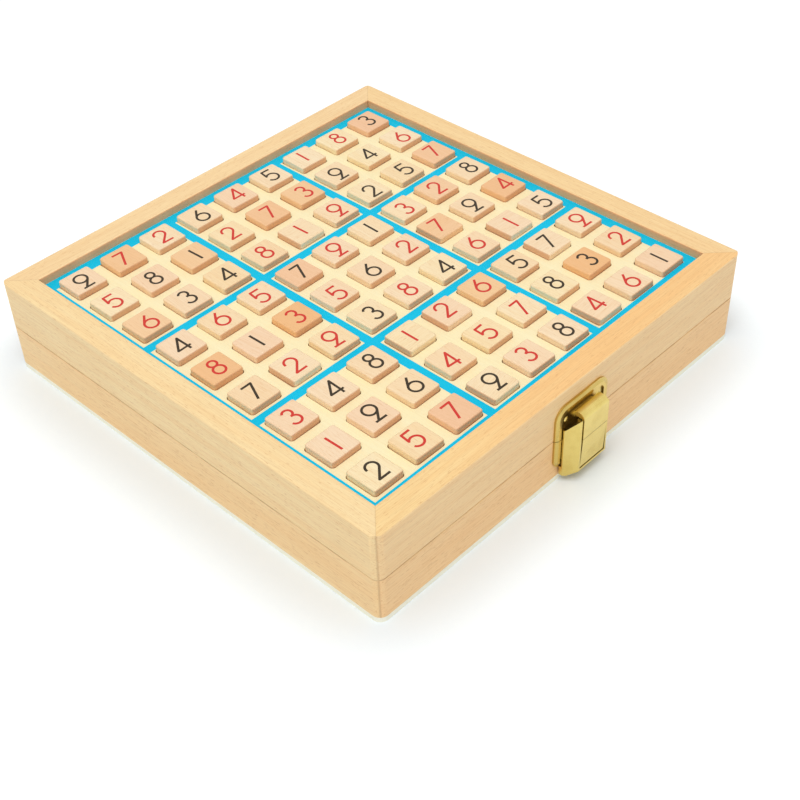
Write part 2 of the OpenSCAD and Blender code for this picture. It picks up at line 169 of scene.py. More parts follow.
def add(tree, kind, inputs=None, **settings):
    """A new node with its settings, and with each named input set to a value or linked to a socket."""
    node = tree.nodes.new(kind)
    for key, value in settings.items():
        setattr(node, key, value)
    for key, value in (inputs or {}).items():
        if isinstance(value, bpy.types.NodeSocket):
            tree.links.new(value, node.inputs[key])
        else:
            node.inputs[key].default_value = value
    return node


def new_material(name):
    """A material with an empty tree, its Principled shader and that shader's link to the output."""
    material = bpy.data.materials.new(name)
    material.use_nodes = True
    tree = material.node_tree
    tree.nodes.clear()
    shader = add(tree, "ShaderNodeBsdfPrincipled")
    add(tree, "ShaderNodeOutputMaterial", {"Surface": shader.outputs["BSDF"]})
    return material, tree, shader


def stretched(tree, place, along, across):
    """The place with its x divided by along and its y and z by across, both in metres."""
    scale = (1 / along, 1 / across, 1 / across)
    return add(tree, "ShaderNodeVectorMath", {0: place, 1: scale}, operation="MULTIPLY").outputs["Vector"]


def noise(tree, place, detail=3.0, roughness=0.5, distortion=0.0):
    """Soft noise from 0 to 1, with marks about one unit of the place in size."""
    inputs = {
        "Vector": place, "Scale": 1.0,
        "Detail": detail, "Roughness": roughness, "Distortion": distortion,
    }
    return add(tree, "ShaderNodeTexNoise", inputs).outputs["Fac"]


def remap(tree, value, low, high, to_low=0.0, to_high=1.0):
    """The value's range from low to high, eased at both ends, as a range from to_low to to_high."""
    inputs = {"Value": value, "From Min": low, "From Max": high, "To Min": to_low, "To Max": to_high}
    return add(tree, "ShaderNodeMapRange", inputs, interpolation_type="SMOOTHSTEP").outputs["Result"]


def mix(tree, share, first, second, blend="MIX"):
    """The first colour with a share of the second."""
    node = add(tree, "ShaderNodeMix", data_type="RGBA", blend_type=blend)
    for key, value in ((MIX_SHARE, share), (MIX_FIRST, first), (MIX_SECOND, second)):
        if isinstance(value, bpy.types.NodeSocket):
            tree.links.new(value, node.inputs[key])
        else:
            node.inputs[key].default_value = value
    return node.outputs[MIX_RESULT]


def sum_of(tree, first, second, share=1.0):
    """The first value and a share of the second."""
    node = add(tree, "ShaderNodeMath", {0: second, 1: share, 2: first}, operation="MULTIPLY_ADD")
    return node.outputs["Value"]


def object_place(turn=0.0, shift=0.0):
    """Places in the object's own metres, turned about z so that x runs along the grain."""
    def place(tree):
        source = add(tree, "ShaderNodeTexCoord").outputs["Object"]
        inputs = {"Vector": source, "Rotation": (0, 0, turn), "Location": (shift, shift, 0)}
        return add(tree, "ShaderNodeMapping", inputs).outputs["Vector"]
    return place


def attribute_place(tree):
    """Places that the mesh holds for its grain."""
    return add(tree, "ShaderNodeAttribute", attribute_name="grain_place").outputs["Vector"]


def distance_from(tree, value, level):
    """How far the value is from the level, on either side."""
    off = add(tree, "ShaderNodeMath", {0: value, 1: level}, operation="SUBTRACT")
    return add(tree, "ShaderNodeMath", {0: off.outputs["Value"]}, operation="ABSOLUTE").outputs["Value"]


def larger(tree, first, second):
    return add(tree, "ShaderNodeMath", {0: first, 1: second}, operation="MAXIMUM").outputs["Value"]


def product(tree, first, second):
    return add(tree, "ShaderNodeMath", {0: first, 1: second}, operation="MULTIPLY").outputs["Value"]


def power(tree, value, exponent):
    return add(tree, "ShaderNodeMath", {0: value, 1: exponent}, operation="POWER").outputs["Value"]


def object_axes(tree):
    """The place along x, y and z in the object's own metres."""
    source = add(tree, "ShaderNodeTexCoord").outputs["Object"]
    return add(tree, "ShaderNodeSeparateXYZ", {"Vector": source}).outputs


def distances_out(tree):
    """How far a place lies from the box's middle along x and along y."""
    axes = object_axes(tree)
    return distance_from(tree, axes["X"], 0.0), distance_from(tree, axes["Y"], 0.0)


def share_out(tree):
    """How far out a place lies, near 1 all along the box's sides and round its corners."""
    powers = [power(tree, product(tree, out, 1 / box_half), CORNER_POWER) for out in distances_out(tree)]
    return power(tree, sum_of(tree, *powers), 1 / CORNER_POWER)


def joint_lines_and_seam_shade(tree):
    """Share of the dark tone where rails meet: painted shade in the seam's gap between lid and base, outside
    only, and dark joint lines on upright corners and on mitres.
    """
    axes = object_axes(tree)
    across, along = distances_out(tree)
    fade_share = JOINT_FADE / box_half
    outside = remap(tree, share_out(tree), 1 - 2 * fade_share, 1 - fade_share)
    # Painted shade along the gap between lid and base
    seam = remap(tree, distance_from(tree, axes["Z"], seam_z), JOINT_CORE, JOINT_FADE, SEAM_SHADE_SHARE, 0.0)
    patches = noise(tree, stretched(tree, object_place()(tree), SEAM_PATCH, SEAM_PATCH))
    uneven = remap(tree, patches, *SEAM_PATCH_SHOWN)
    off_mitre = distance_from(tree, across, along)
    mitre = remap(tree, off_mitre, JOINT_CORE, JOINT_FADE, MITRE_SHARE, 0.0)
    corner = remap(tree, off_mitre, JOINT_CORE, CORNER_FADE, CORNER_SHARE, 0.0)
    faces_aside = remap(tree, faces_up(tree), 0.0, 1.0, 1.0, 0.0)
    between_rails = larger(tree, mitre, product(tree, corner, faces_aside))
    return larger(tree, product(tree, product(tree, seam, uneven), outside), between_rails)


def cut_edge_shade(low, high):
    """Share of the dark tone on a sheet's cut edges, between its two faces: darker cut wood, and painted
    shade in the cells' pockets.
    """
    def share(tree):
        height = object_axes(tree)["Z"]
        above = remap(tree, height, low, low + CUT_FADE)
        below = remap(tree, height, high - CUT_FADE, high, CUT_SHADE_SHARE, 0.0)
        return product(tree, above, below)
    return share


def faces_up(tree):
    """Near 1 on faces that look up at rest."""
    normal = add(tree, "ShaderNodeTexCoord").outputs["Normal"]
    height = add(tree, "ShaderNodeSeparateXYZ", {"Vector": normal}).outputs["Z"]
    return remap(tree, height, UP_START, UP_END)


def rail_painted_light(part, side):
    """Painted light and shade on a rail by where its faces look: a tint on faces that look up, painted shade
    on those that look sideways, and a warmer painted shade on the walls round the board.
    """
    def light_tint(tree):
        axes = object_axes(tree)
        run = axes["X" if side in ("front", "back") else "Y"]
        out = larger(tree, *distances_out(tree))
        inner = remap(tree, out, opening_half + JOINT_CORE, opening_half + JOINT_FADE, 1.0, 0.0)
        above = remap(tree, axes["Z"], board_top - JOINT_FADE, board_top)
        upright = mix(tree, product(tree, inner, above), UPRIGHT_SHADE_TINTS[part], INNER_WALL_SHADE)
        top = mix(tree, remap(tree, run, -box_half, TOP_TINT_END), *TOP_TINTS[side])
        return mix(tree, faces_up(tree), upright, top)
    return light_tint


def wood(
    name, place, light, dark, fleck, fleck_share=0.35, band=3.0 * MM, finish=0.5,
    tinted=False, shade=None, light_tint=None
):
    """Wood with soft bands, fine fibres and short flecks along the grain, with painted light and shade
    multiplied in where a tint is given, and darker where shade says so.
    """
    material, tree, shader = new_material(name)
    at = place(tree)
    bands = noise(tree, stretched(tree, at, STREAK_LENGTH, band), detail=4.0, distortion=0.5)
    fibres = noise(tree, stretched(tree, at, *FIBRE_SIZE), detail=3.0, roughness=0.6)
    flecks = noise(tree, stretched(tree, at, *FLECK_SIZE), detail=1.0)
    clouds = noise(tree, stretched(tree, at, *CLOUD_SIZE), detail=2.0)
    base = mix(tree, remap(tree, bands, *STREAK_SHOWN), light, dark)
    base = mix(tree, remap(tree, clouds, *CLOUD_SHOWN), base, dark)
    if tinted:
        tone = add(tree, "ShaderNodeAttribute", attribute_name="tone").outputs["Fac"]
        base = mix(tree, tone, base, TILE_WARM)
        blush = add(tree, "ShaderNodeAttribute", attribute_name="blush").outputs["Fac"]
        base = mix(tree, blush, base, TILE_BLUSH)
        ends = add(tree, "ShaderNodeAttribute", attribute_name="end_grain").outputs["Fac"]
        base = mix(tree, remap(tree, ends, *END_SHOWN), base, TILE_END)
    # Painted light and shade, by where the faces look
    if light_tint:
        base = mix(tree, 1.0, base, light_tint(tree), "MULTIPLY")
    base = mix(tree, remap(tree, fibres, *FIBRE_SHOWN), base, fleck)
    base = mix(tree, remap(tree, flecks, FLECK_START, FLECK_FULL, 0.0, fleck_share), base, fleck)
    # Darker joint lines, and painted shade on the seam and in the cells' cut edges
    if shade:
        base = mix(tree, shade(tree), base, JOINT_AND_SHADE_DARK)
    roughness = remap(tree, fibres, *GLOSS_LEVELS, finish - WOOD_GLOSSIER, finish + WOOD_DULLER)
    height = sum_of(tree, fibres, flecks, FLECK_BUMP_SHARE)
    bump_inputs = {"Strength": WOOD_BUMP, "Distance": WOOD_BUMP_DEPTH, "Height": height}
    bump = add(tree, "ShaderNodeBump", bump_inputs)
    tree.links.new(base, shader.inputs["Base Color"])
    tree.links.new(roughness, shader.inputs["Roughness"])
    tree.links.new(bump.outputs["Normal"], shader.inputs["Normal"])
    return material


def ink(name, base, thin):
    """Printed ink that lies a little thinner on the wood's fibres."""
    material, tree, shader = new_material(name)
    at = object_place()(tree)
    wear = noise(tree, stretched(tree, at, WEAR_SIZE, WEAR_SIZE), detail=4.0, roughness=0.65)
    tone = mix(tree, remap(tree, wear, *WEAR_SHOWN), base, thin)
    tree.links.new(tone, shader.inputs["Base Color"])
    tree.links.new(remap(tree, wear, *GLOSS_LEVELS, *INK_ROUGHNESS), shader.inputs["Roughness"])
    shader.inputs["Specular IOR Level"].default_value = INK_SPECULAR
    return material


def crease_shade(tree):
    """Share of the metal's dark tone on the rocker's crease, at the height of its pivot: painted shade along
    the crease.
    """
    height = object_axes(tree)["Z"]
    return remap(tree, distance_from(tree, height, seam_z), CREASE_CORE, CREASE_FADE, CREASE_SHADE_SHARE, 0.0)


def plate_slope_shade(tree):
    """Share of the dark tone on the clasp's plates where they slope off from the box's front: painted shade
    on the slopes.
    """
    normal = add(tree, "ShaderNodeTexCoord").outputs["Normal"]
    depth = add(tree, "ShaderNodeSeparateXYZ", {"Vector": normal}).outputs["Y"]
    outward = distance_from(tree, depth, 0.0)
    return remap(tree, outward, SLOPE_START, SLOPE_END, SLOPE_SHADE_SHARE, 0.0)


def metal(name, base, shade, finish, line=None):
    """Plated metal with faint drawn lines, a slightly uneven polish, a darker tone in patches, and painted
    shade in its dark tone where a line is given.
    """
    material, tree, shader = new_material(name)
    at = object_place()(tree)
    patches = noise(tree, stretched(tree, at, PATCH_SIZE, PATCH_SIZE), detail=4.0, roughness=0.6)
    lines = noise(tree, stretched(tree, at, *DRAWN_SIZE), detail=2.0)
    tone = mix(tree, remap(tree, patches, *PATCH_SHOWN), base, shade)
    if line:
        tone = mix(tree, line(tree), tone, METAL_SHADE_DARK)
    roughness = remap(tree, lines, *GLOSS_LEVELS, finish - METAL_GLOSSIER, finish + METAL_DULLER)
    bump_inputs = {"Strength": METAL_BUMP, "Distance": METAL_BUMP_DEPTH, "Height": lines}
    bump = add(tree, "ShaderNodeBump", bump_inputs)
    tree.links.new(tone, shader.inputs["Base Color"])
    tree.links.new(roughness, shader.inputs["Roughness"])
    tree.links.new(bump.outputs["Normal"], shader.inputs["Normal"])
    shader.inputs["Metallic"].default_value = 1.0
    return material


# Marks in the wood, each by its length along the grain and its width across it
STREAK_LENGTH = 90 * MM
FIBRE_SIZE = (14 * MM, 0.35 * MM)
FLECK_SIZE = (3.0 * MM, 0.36 * MM)
CLOUD_SIZE = (110 * MM, 28 * MM)
# Levels between which a mark comes up, and its shares at the lower and at the upper level
STREAK_SHOWN = (0.3, 0.75, 0.0, 0.6)
CLOUD_SHOWN = (0.3, 0.7, 0.0, 0.4)
FIBRE_SHOWN = (0.35, 0.75, 0.0, 0.27)
END_SHOWN = (0.3, 0.9, 0.0, 0.75)
FLECK_START = 0.6
FLECK_FULL = 0.74
# Relief of the wood, and how far its gloss changes along the fibres
FLECK_BUMP_SHARE = 0.6
WOOD_BUMP = 0.35
WOOD_BUMP_DEPTH = 0.06 * MM
WOOD_GLOSSIER = 0.06
WOOD_DULLER = 0.1
# Levels between which noise changes the gloss of wood, ink and metal
GLOSS_LEVELS = (0.2, 0.8)
# Where in their planks the rails are cut, in metres
PLANK_SHIFT = (1, 3)

# Wear, roughness and gloss of the ink
WEAR_SIZE = 0.6 * MM
WEAR_SHOWN = (0.5, 0.8, 0.0, 0.55)
INK_ROUGHNESS = (0.45, 0.6)
INK_SPECULAR = 0.2

# Metal: its darker patches, the lines left by drawing, its relief and its polish
PATCH_SIZE = 6 * MM
PATCH_SHOWN = (0.4, 0.75, 0.0, 0.6)
DRAWN_SIZE = (8 * MM, 0.12 * MM)
METAL_BUMP = 0.12
METAL_BUMP_DEPTH = 0.02 * MM
METAL_FINISH = 0.3
METAL_GLOSSIER = 0.05
METAL_DULLER = 0.07

# Lines where pieces of wood meet, and painted shade on the seam between lid and base and in the cut edges of
# the cells: how far they fade, and their shares of the dark tone
JOINT_CORE = 0.12 * MM
JOINT_FADE = 0.5 * MM
CORNER_FADE = 1.0 * MM
CUT_FADE = 0.3 * MM
SEAM_SHADE_SHARE = 0.55
MITRE_SHARE = 0.15
CORNER_SHARE = 0.3
CUT_SHADE_SHARE = 0.2
JOINT_AND_SHADE_DARK = colour(142, 92, 52)
# Patches in which the seam's painted shade is fainter
SEAM_PATCH = 9 * MM
SEAM_PATCH_SHOWN = (0.3, 0.65, 0.45, 1.0)
# Power with which the distances along x and y follow the box's rounded corners
CORNER_POWER = 64.0

# Painted shade on the crease of the clasp's rocker, and the metal's dark tone for painted shade
CREASE_CORE = 0.05 * MM
CREASE_FADE = 0.3 * MM
CREASE_SHADE_SHARE = 0.7
METAL_SHADE_DARK = colour(120, 100, 48)

# Painted shade on the slopes of the clasp's plates, by how far they face the front
SLOPE_START = 0.8
SLOPE_END = 0.97
SLOPE_SHADE_SHARE = 0.22

# Frame wood by the side of the box: light, dark and fleck
FRAME_FLECK = colour(204, 146, 92)
FRAME_TONES = {
    "left": (colour(255, 231, 178), colour(253, 217, 158)),
    "back": (colour(255, 227, 174), colour(249, 211, 154)),
    "right": (colour(254, 222, 164), colour(248, 206, 144)),
    "front": (colour(255, 225, 172), colour(251, 210, 152)),
}
# Painted light and shade on the rails by where their faces look: tints of upright faces of lid and base and
# of the walls round the board, which are painted shade, and of top faces from end to end
UP_START = 0.5
UP_END = 0.9
UPRIGHT_SHADE_TINTS = {"lid": colour(255, 251, 248), "base": colour(255, 245, 238)}
INNER_WALL_SHADE = colour(255, 220, 212)
TOP_TINT_END = 10 * MM
TOP_TINTS = {
    "left": (colour(255, 255, 255), colour(255, 252, 248)),
    "back": (colour(255, 252, 250), colour(255, 252, 250)),
    "right": (colour(255, 253, 252), colour(255, 255, 255)),
    "front": (colour(255, 253, 238), colour(255, 238, 214)),
}
# Other woods: panels, bottom, printed sheets and tiles
PANEL_LIGHT = colour(248, 236, 202)
PANEL_DARK = colour(240, 220, 176)
PANEL_FLECK = colour(212, 182, 134)
BOTTOM_LIGHT = colour(255, 253, 238)
BOTTOM_DARK = colour(252, 248, 224)
BOTTOM_FLECK = colour(226, 216, 180)
SHEET_LIGHT = colour(255, 245, 202)
SHEET_DARK = colour(255, 239, 188)
SHEET_FLECK = colour(242, 216, 160)
TILE_LIGHT = colour(255, 241, 201)
TILE_DARK = colour(253, 227, 173)
TILE_FLECK = colour(224, 172, 118)
TILE_WARM = colour(242, 178, 114)
TILE_BLUSH = colour(248, 208, 186)
TILE_END = colour(216, 158, 116)
# Metals, each lit and in its darker patches
BRASS_LIGHT = colour(228, 205, 124)
BRASS_SHADE = colour(211, 184, 100)
PLATE_LIGHT = colour(223, 195, 114)
PLATE_SHADE = colour(205, 174, 92)
STEEL_LIGHT = colour(196, 196, 192)
STEEL_SHADE = colour(160, 160, 158)
# Inks, each at its full tone and where it lies thin
BLUE = colour(0, 198, 236)
BLUE_THIN = colour(24, 204, 236)
MAGENTA = colour(228, 22, 140)
MAGENTA_THIN = colour(236, 60, 156)
BLACK = colour(58, 47, 32)
BLACK_THIN = colour(102, 84, 58)
RED = colour(213, 61, 51)
RED_THIN = colour(230, 106, 84)

# Turns of the grain, and places on the box from the frame
ALONG_X = 0.0
ALONG_Y = math.radians(90)
box_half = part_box("bottom_panel")[1].x
seam_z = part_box("lid_rail_front")[0].z


def rail_wood(side, part):
    """The frame's wood, with its grain along the rail, its own place in the plank, and painted light and
    shade by where its faces look.
    """
    turn = ALONG_X if side in ("front", "back") else ALONG_Y
    shift = dice.uniform(*PLANK_SHIFT)
    light, dark = FRAME_TONES[side]
    return wood(
        f"{part}_wood_{side}", object_place(turn, shift), light, dark, FRAME_FLECK,
        fleck_share=0.45, shade=joint_lines_and_seam_shade, light_tint=rail_painted_light(part, side)
    )


def sheet_wood(name):
    """Pale printed plywood, with the cut edges of its cells a little darker, partly as painted shade in the
    pockets.
    """
    low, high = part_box(name)
    return wood(
        f"{name}_wood", object_place(ALONG_Y), SHEET_LIGHT, SHEET_DARK, SHEET_FLECK,
        fleck_share=0.15, band=6.0 * MM, shade=cut_edge_shade(low.z, high.z)
    )


panel_wood = wood(
    "panel_wood", object_place(), PANEL_LIGHT, PANEL_DARK, PANEL_FLECK, band=5.0 * MM, finish=0.6
)
bottom_wood = wood(
    "bottom_wood", object_place(), BOTTOM_LIGHT, BOTTOM_DARK, BOTTOM_FLECK, band=5.0 * MM, finish=0.6
)
tile_wood = wood(
    "tile_wood", attribute_place, TILE_LIGHT, TILE_DARK, TILE_FLECK, fleck_share=0.4, band=1.8 * MM,
    finish=0.55, tinted=True
)
brass = metal("brass", BRASS_LIGHT, BRASS_SHADE, METAL_FINISH)
rocker_brass = metal("rocker_brass", BRASS_LIGHT, BRASS_SHADE, METAL_FINISH, crease_shade)
plate_brass = metal("plate_brass", PLATE_LIGHT, PLATE_SHADE, METAL_FINISH, plate_slope_shade)
steel = metal("steel", STEEL_LIGHT, STEEL_SHADE, METAL_FINISH)
blue_ink = ink("blue_ink", BLUE, BLUE_THIN)
magenta_ink = ink("magenta_ink", MAGENTA, MAGENTA_THIN)
black_ink = ink("black_ink", BLACK, BLACK_THIN)
red_ink = ink("red_ink", RED, RED_THIN)


# Meshes
def new_object(name, bm, material):
    """An object of the mesh, which is freed, with its material."""
    mesh = bpy.data.meshes.new(name)
    bm.to_mesh(mesh)
    bm.free()
    made = bpy.data.objects.new(name, mesh)
    bpy.context.scene.collection.objects.link(made)
    mesh.materials.append(material)
    return made


def prism(bm, outline, low, high):
    """A closed solid over an outline of x, y points that runs anticlockwise."""
    floor = [bm.verts.new((x, y, low)) for x, y in outline]
    roof = [bm.verts.new((x, y, high)) for x, y in outline]
    bm.faces.new(list(reversed(floor)))
    bm.faces.new(roof)
    for i in range(len(outline)):
        j = (i + 1) % len(outline)
        bm.faces.new((floor[i], floor[j], roof[j], roof[i]))


def prism_object(name, outlines, low, high):
    """One object of a prism over each outline, in blue ink."""
    bm = bmesh.new()
    for outline in outlines:
        prism(bm, outline, low, high)
    return new_object(name, bm, blue_ink)


def combined(target, other, operation):
    """The target's mesh after a boolean with the other object, which is then removed."""
    change = target.modifiers.new("join", "BOOLEAN")
    change.operation = operation
    change.solver = "EXACT"
    change.object = other
    bpy.context.view_layer.update()
    result = bpy.data.meshes.new_from_object(target.evaluated_get(bpy.context.evaluated_depsgraph_get()))
    target.modifiers.clear()
    target.data = result
    bpy.data.objects.remove(other)
    return target


def rectangle(x, y, width, height):
    """Corners of a rectangle round x, y, anticlockwise."""
    return [
        (x - width / 2, y - height / 2), (x + width / 2, y - height / 2),
        (x + width / 2, y + height / 2), (x - width / 2, y + height / 2),
    ]


def arc(x, y, radius, start, end):
    """Points on a circle from one angle to another, in degrees."""
    count = max(2, math.ceil(abs(math.radians(end - start)) / ARC_STEP))
    angles = [math.radians(start + (end - start) * i / count) for i in range(count + 1)]
    return [(x + radius * math.cos(a), y + radius * math.sin(a)) for a in angles]


def offset_sides(points, width, closed):
    """The points of a line moved half its width to the left and to the right."""
    count = len(points)
    left = []
    right = []
    for i, (x, y) in enumerate(points):
        before = points[(i - 1) % count] if closed or i else points[i]
        after = points[(i + 1) % count] if closed or i < count - 1 else points[i]
        direction = Vector((after[0] - before[0], after[1] - before[1])).normalized()
        left.append((x - direction.y * width / 2, y + direction.x * width / 2))
        right.append((x + direction.y * width / 2, y - direction.x * width / 2))
    return left, right


# Places on the board, from the frame
tile_boxes = [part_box(f"tiles_{numeral}") for numeral in range(1, CELLS + 1)]
tiles_left = min(low.x for low, high in tile_boxes)
tiles_right = max(high.x for low, high in tile_boxes)
cell_pitch = (tiles_right - tiles_left - TILE_W) / (CELLS - 1)
tile_floor = tile_boxes[0][0].z
board_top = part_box("cell_sheet")[1].z
rail_low, rail_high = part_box("lid_rail_front")
opening_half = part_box("lid_rail_right")[1].x - (rail_high.y - rail_low.y)


def cell_at(index):
    """Middle of a cell along its row, counted from 0, from the board's middle."""
    return (index - (CELLS - 1) / 2) * cell_pitch


# Finish of the pieces that come from the frame
def soften(node, width):
    """Welds the node's mesh for shading, rounds its edges a little and keeps its flat faces flat."""
    node.modifiers.new("weld", "WELD").merge_threshold = WELD_GAP
    edge = node.modifiers.new("edge", "BEVEL")
    edge.width = width
    edge.segments = EDGE_SEGMENTS
    edge.limit_method = "ANGLE"
    edge.angle_limit = EDGE_ANGLE
    edge.use_clamp_overlap = True
    shade = node.modifiers.new("shade", "WEIGHTED_NORMAL")
    shade.keep_sharp = False


def finish_node(name, material, edge):
    """Gives a node of the frame its material, and softens its edges if a width is given."""
    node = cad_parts[name]
    node.data.materials.clear()
    node.data.materials.append(material)
    if edge:
        soften(node, edge)


for part in ("base", "lid"):
    for side in ("front", "right", "back", "left"):
        finish_node(f"{part}_rail_{side}", rail_wood(side, part), WOOD_EDGE)
finish_node("bottom_panel", bottom_wood, WOOD_EDGE)
for name in ("board_backing", "insert_core"):
    finish_node(name, panel_wood, WOOD_EDGE)
for name in ("cell_sheet", "insert_sheet_six", "insert_sheet_four"):
    finish_node(name, sheet_wood(name), 0)
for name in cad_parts:
    if name == "clasp_pivot_pin":
        finish_node(name, steel, METAL_EDGE)
    elif name.endswith("_plate"):
        finish_node(name, plate_brass, 0)
    elif name.startswith("hinge_leaf"):
        finish_node(name, brass, 0)
    elif name == "clasp_rocker":
        finish_node(name, rocker_brass, METAL_EDGE)
    elif name.startswith(("hinge", "clasp")) and name != "clasp_spring":
        finish_node(name, brass, METAL_EDGE)


# Core of the clasp's rolled hook, which closes the roll's ends
def hook_core():
    """A bar that fills the hollow under the rocker's roll, a little shorter than the roll."""
    low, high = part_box("clasp_rocker")
    front = low.y + HOOK_T
    back = low.y + HOOK_SPAN - HOOK_T
    foot = high.z - HOOK_R
    radius = HOOK_R - HOOK_T
    outline = [(front, foot), (back, foot)]
    outline += arc(back - radius, foot, radius, 0, 90)[1:]
    outline += arc(front + radius, foot, radius, 90, 180)[:-1]
    bm = bmesh.new()
    prism(bm, outline, low.x + HOOK_INSET, high.x - HOOK_INSET)
    bmesh.ops.transform(bm, matrix=UPRIGHT, verts=bm.verts)
    core = new_object("clasp_hook_core", bm, brass)
    soften(core, METAL_EDGE)
    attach(core, "clasp_rocker")


# Leaf spring of the clasp
def spring_leaf():
    """A bent strip whose foot stays on the base and whose arm gives way to the rocker."""
    low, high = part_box("clasp_spring")
    radius = SPRING_BEND_R - SPRING_T / 2
    foot_y = high.y - SPRING_T / 2
    bend_y = foot_y - radius
    bend_z = high.z - SPRING_BEND_R
    arm_y = bend_y - radius
    end_y = low.y + SPRING_T / 2
    end_z = bend_z - math.sqrt(SPRING_ARM ** 2 - (arm_y - end_y) ** 2)
    line = [(foot_y, low.z)] + arc(bend_y, bend_z, radius, 0, 180)
    for step in range(1, SPRING_STEPS + 1):
        share = step / SPRING_STEPS
        line.append((arm_y + (end_y - arm_y) * share, bend_z + (end_z - bend_z) * share))
    left, right = offset_sides(line, SPRING_T, False)
    bm = bmesh.new()
    prism(bm, right + left[::-1], low.x, high.x)
    bmesh.ops.transform(bm, matrix=UPRIGHT, verts=bm.verts)
    bmesh.ops.recalc_face_normals(bm, faces=bm.faces)
    leaf = new_object("clasp_spring_leaf", bm, steel)
    soften(leaf, SPRING_EDGE)
    middle = (low.x + high.x) / 2
    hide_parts("clasp_spring")
    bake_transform(leaf, "base", "clasp_rocker", start=(middle, bend_y, bend_z), end=(middle, end_y, bend_z))


# Printed lines on the playing board
def board_lines():
    """A band on each block line and a border along the frame, printed a little askew."""
    low = board_top
    high = board_top + INK_T
    over = INK_T
    half = opening_half - WALL_GAP
    lines = prism_object("board_lines", [rectangle(0, 0, 2 * half, 2 * half)], low, high)
    bands = []
    for line in range(1, CELLS // BLOCK):
        middle = BAND_OFF + cell_at(line * BLOCK - 0.5)
        bands += [middle - BAND_W / 2, middle + BAND_W / 2]
    upright = [BORDER_LEFT, *bands, BORDER_RIGHT]
    level = [(BORDER_FRONT, BORDER_RISE), *[(y, BAND_RISE) for y in bands], (BORDER_BACK, BORDER_RISE)]
    blocks = []
    for x0, x1 in zip(upright[::2], upright[1::2]):
        for (front, front_rise), (back, back_rise) in zip(level[::2], level[1::2]):
            near = [(x, front + front_rise * x) for x in (x0, x1)]
            far = [(x, back + back_rise * x) for x in (x1, x0)]
            blocks.append(near + far)
    combined(lines, prism_object("blocks", blocks, low - over, high + over), "DIFFERENCE")
    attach(lines, "lid")


def insert_lines(name, low, high, cells, y, across, along, material):
    """A border and the given inner lines round the cells of one face of the insert board."""
    span = cells * cell_pitch
    bars = [rectangle(x, y, INSERT_LINE_W, span + INSERT_LINE_W) for x in across]
    lines = prism_object(name, bars, low, high)
    rows = [rectangle(0, y + at, span + INSERT_LINE_W, INSERT_LINE_W) for at in along]
    combined(lines, prism_object("rows", rows, low, high), "UNION")
    lines.data.materials.clear()
    lines.data.materials.append(material)
    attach(lines, "insert")


hook_core()
spring_leaf()
board_lines()
six_half = SIX_CELLS * cell_pitch / 2
six_row = SIX_BLOCK_ROWS * cell_pitch
six_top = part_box("insert_sheet_six")[1].z
insert_lines(
    "insert_lines_six", six_top, six_top + INK_T, SIX_CELLS, INSERT_SIX_Y,
    (-six_half, 0, six_half), (-six_half, -six_half + six_row, six_half - six_row, six_half), blue_ink
)
four_half = FOUR_CELLS * cell_pitch / 2
four_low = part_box("insert_sheet_four")[0].z
insert_lines(
    "insert_lines_four", four_low - INK_T / 2, four_low + INK_T / 2, FOUR_CELLS, 0,
    (-four_half, 0, four_half), (-four_half, 0, four_half), magenta_ink
)


# Numerals: each is a few strokes, as middle lines in millimetres from the numeral's middle
def tangent_angle(point, x, y, radius, side):
    """Angle on a circle, in degrees, where a line from the point touches it on the given side."""
    dx, dy = point[0] - x, point[1] - y
    spread = math.acos(radius / math.hypot(dx, dy))
    return math.degrees(math.atan2(dy, dx) + side * spread)


def turned(strokes):
    """The strokes upside down."""
    return [[(-x, -y) for x, y in stroke] for stroke in strokes]


SIX_R = 2.9
SIX_Y = SIX_R - DIGIT_TOP
SIX_TIP = (1.3, DIGIT_TOP + 0.2)
six_touch = tangent_angle(SIX_TIP, 0, SIX_Y, SIX_R, 1)
SIX_STROKES = [arc(0, SIX_Y, SIX_R, 0, 360), [SIX_TIP, arc(0, SIX_Y, SIX_R, six_touch, six_touch)[0]]]
TWO_R = 2.6
TWO_Y = DIGIT_TOP - TWO_R
TWO_FOOT = (-2.6, -DIGIT_TOP)
two_touch = tangent_angle(TWO_FOOT, 0, TWO_Y, TWO_R, 1)
THREE_R = 2.05
THREE_LOW_R = DIGIT_TOP - THREE_R
EIGHT_R = 1.95
EIGHT_LOW_R = DIGIT_TOP - EIGHT_R
FIVE_R = 2.85
FIVE_Y = FIVE_R - DIGIT_TOP
NINE_BAR_Y = -DIGIT_TOP - 0.55
DIGITS = {
    "1": [[(0, -DIGIT_TOP), (0, DIGIT_TOP)]],
    "2": [arc(0, TWO_Y, TWO_R, 185, two_touch) + [TWO_FOOT, (2.8, -DIGIT_TOP)]],
    "3": [
        arc(-0.2, DIGIT_TOP - THREE_R, THREE_R, 155, -90),
        arc(0, THREE_LOW_R - DIGIT_TOP, THREE_LOW_R, 95, -160),
    ],
    "4": [[(1.7, -DIGIT_TOP), (1.7, DIGIT_TOP), (-3.1, -2.4), (3.2, -2.4)]],
    "5": [[(2.5, DIGIT_TOP), (-1.8, DIGIT_TOP)] + arc(0, FIVE_Y, FIVE_R, 142, -155)],
    "6": SIX_STROKES,
    "7": [[(-2.5, DIGIT_TOP), (2.4, DIGIT_TOP), (-1.7, -DIGIT_TOP)]],
    "8": [
        arc(0, DIGIT_TOP - EIGHT_R, EIGHT_R, 0, 360),
        arc(0, EIGHT_LOW_R - DIGIT_TOP, EIGHT_LOW_R, 0, 360),
    ],
    "9": turned(SIX_STROKES) + [[(-3.0, NINE_BAR_Y), (2.6, NINE_BAR_Y)]],
}
CORNER_TURN = math.radians(30)
JOINT_SIDES = 24


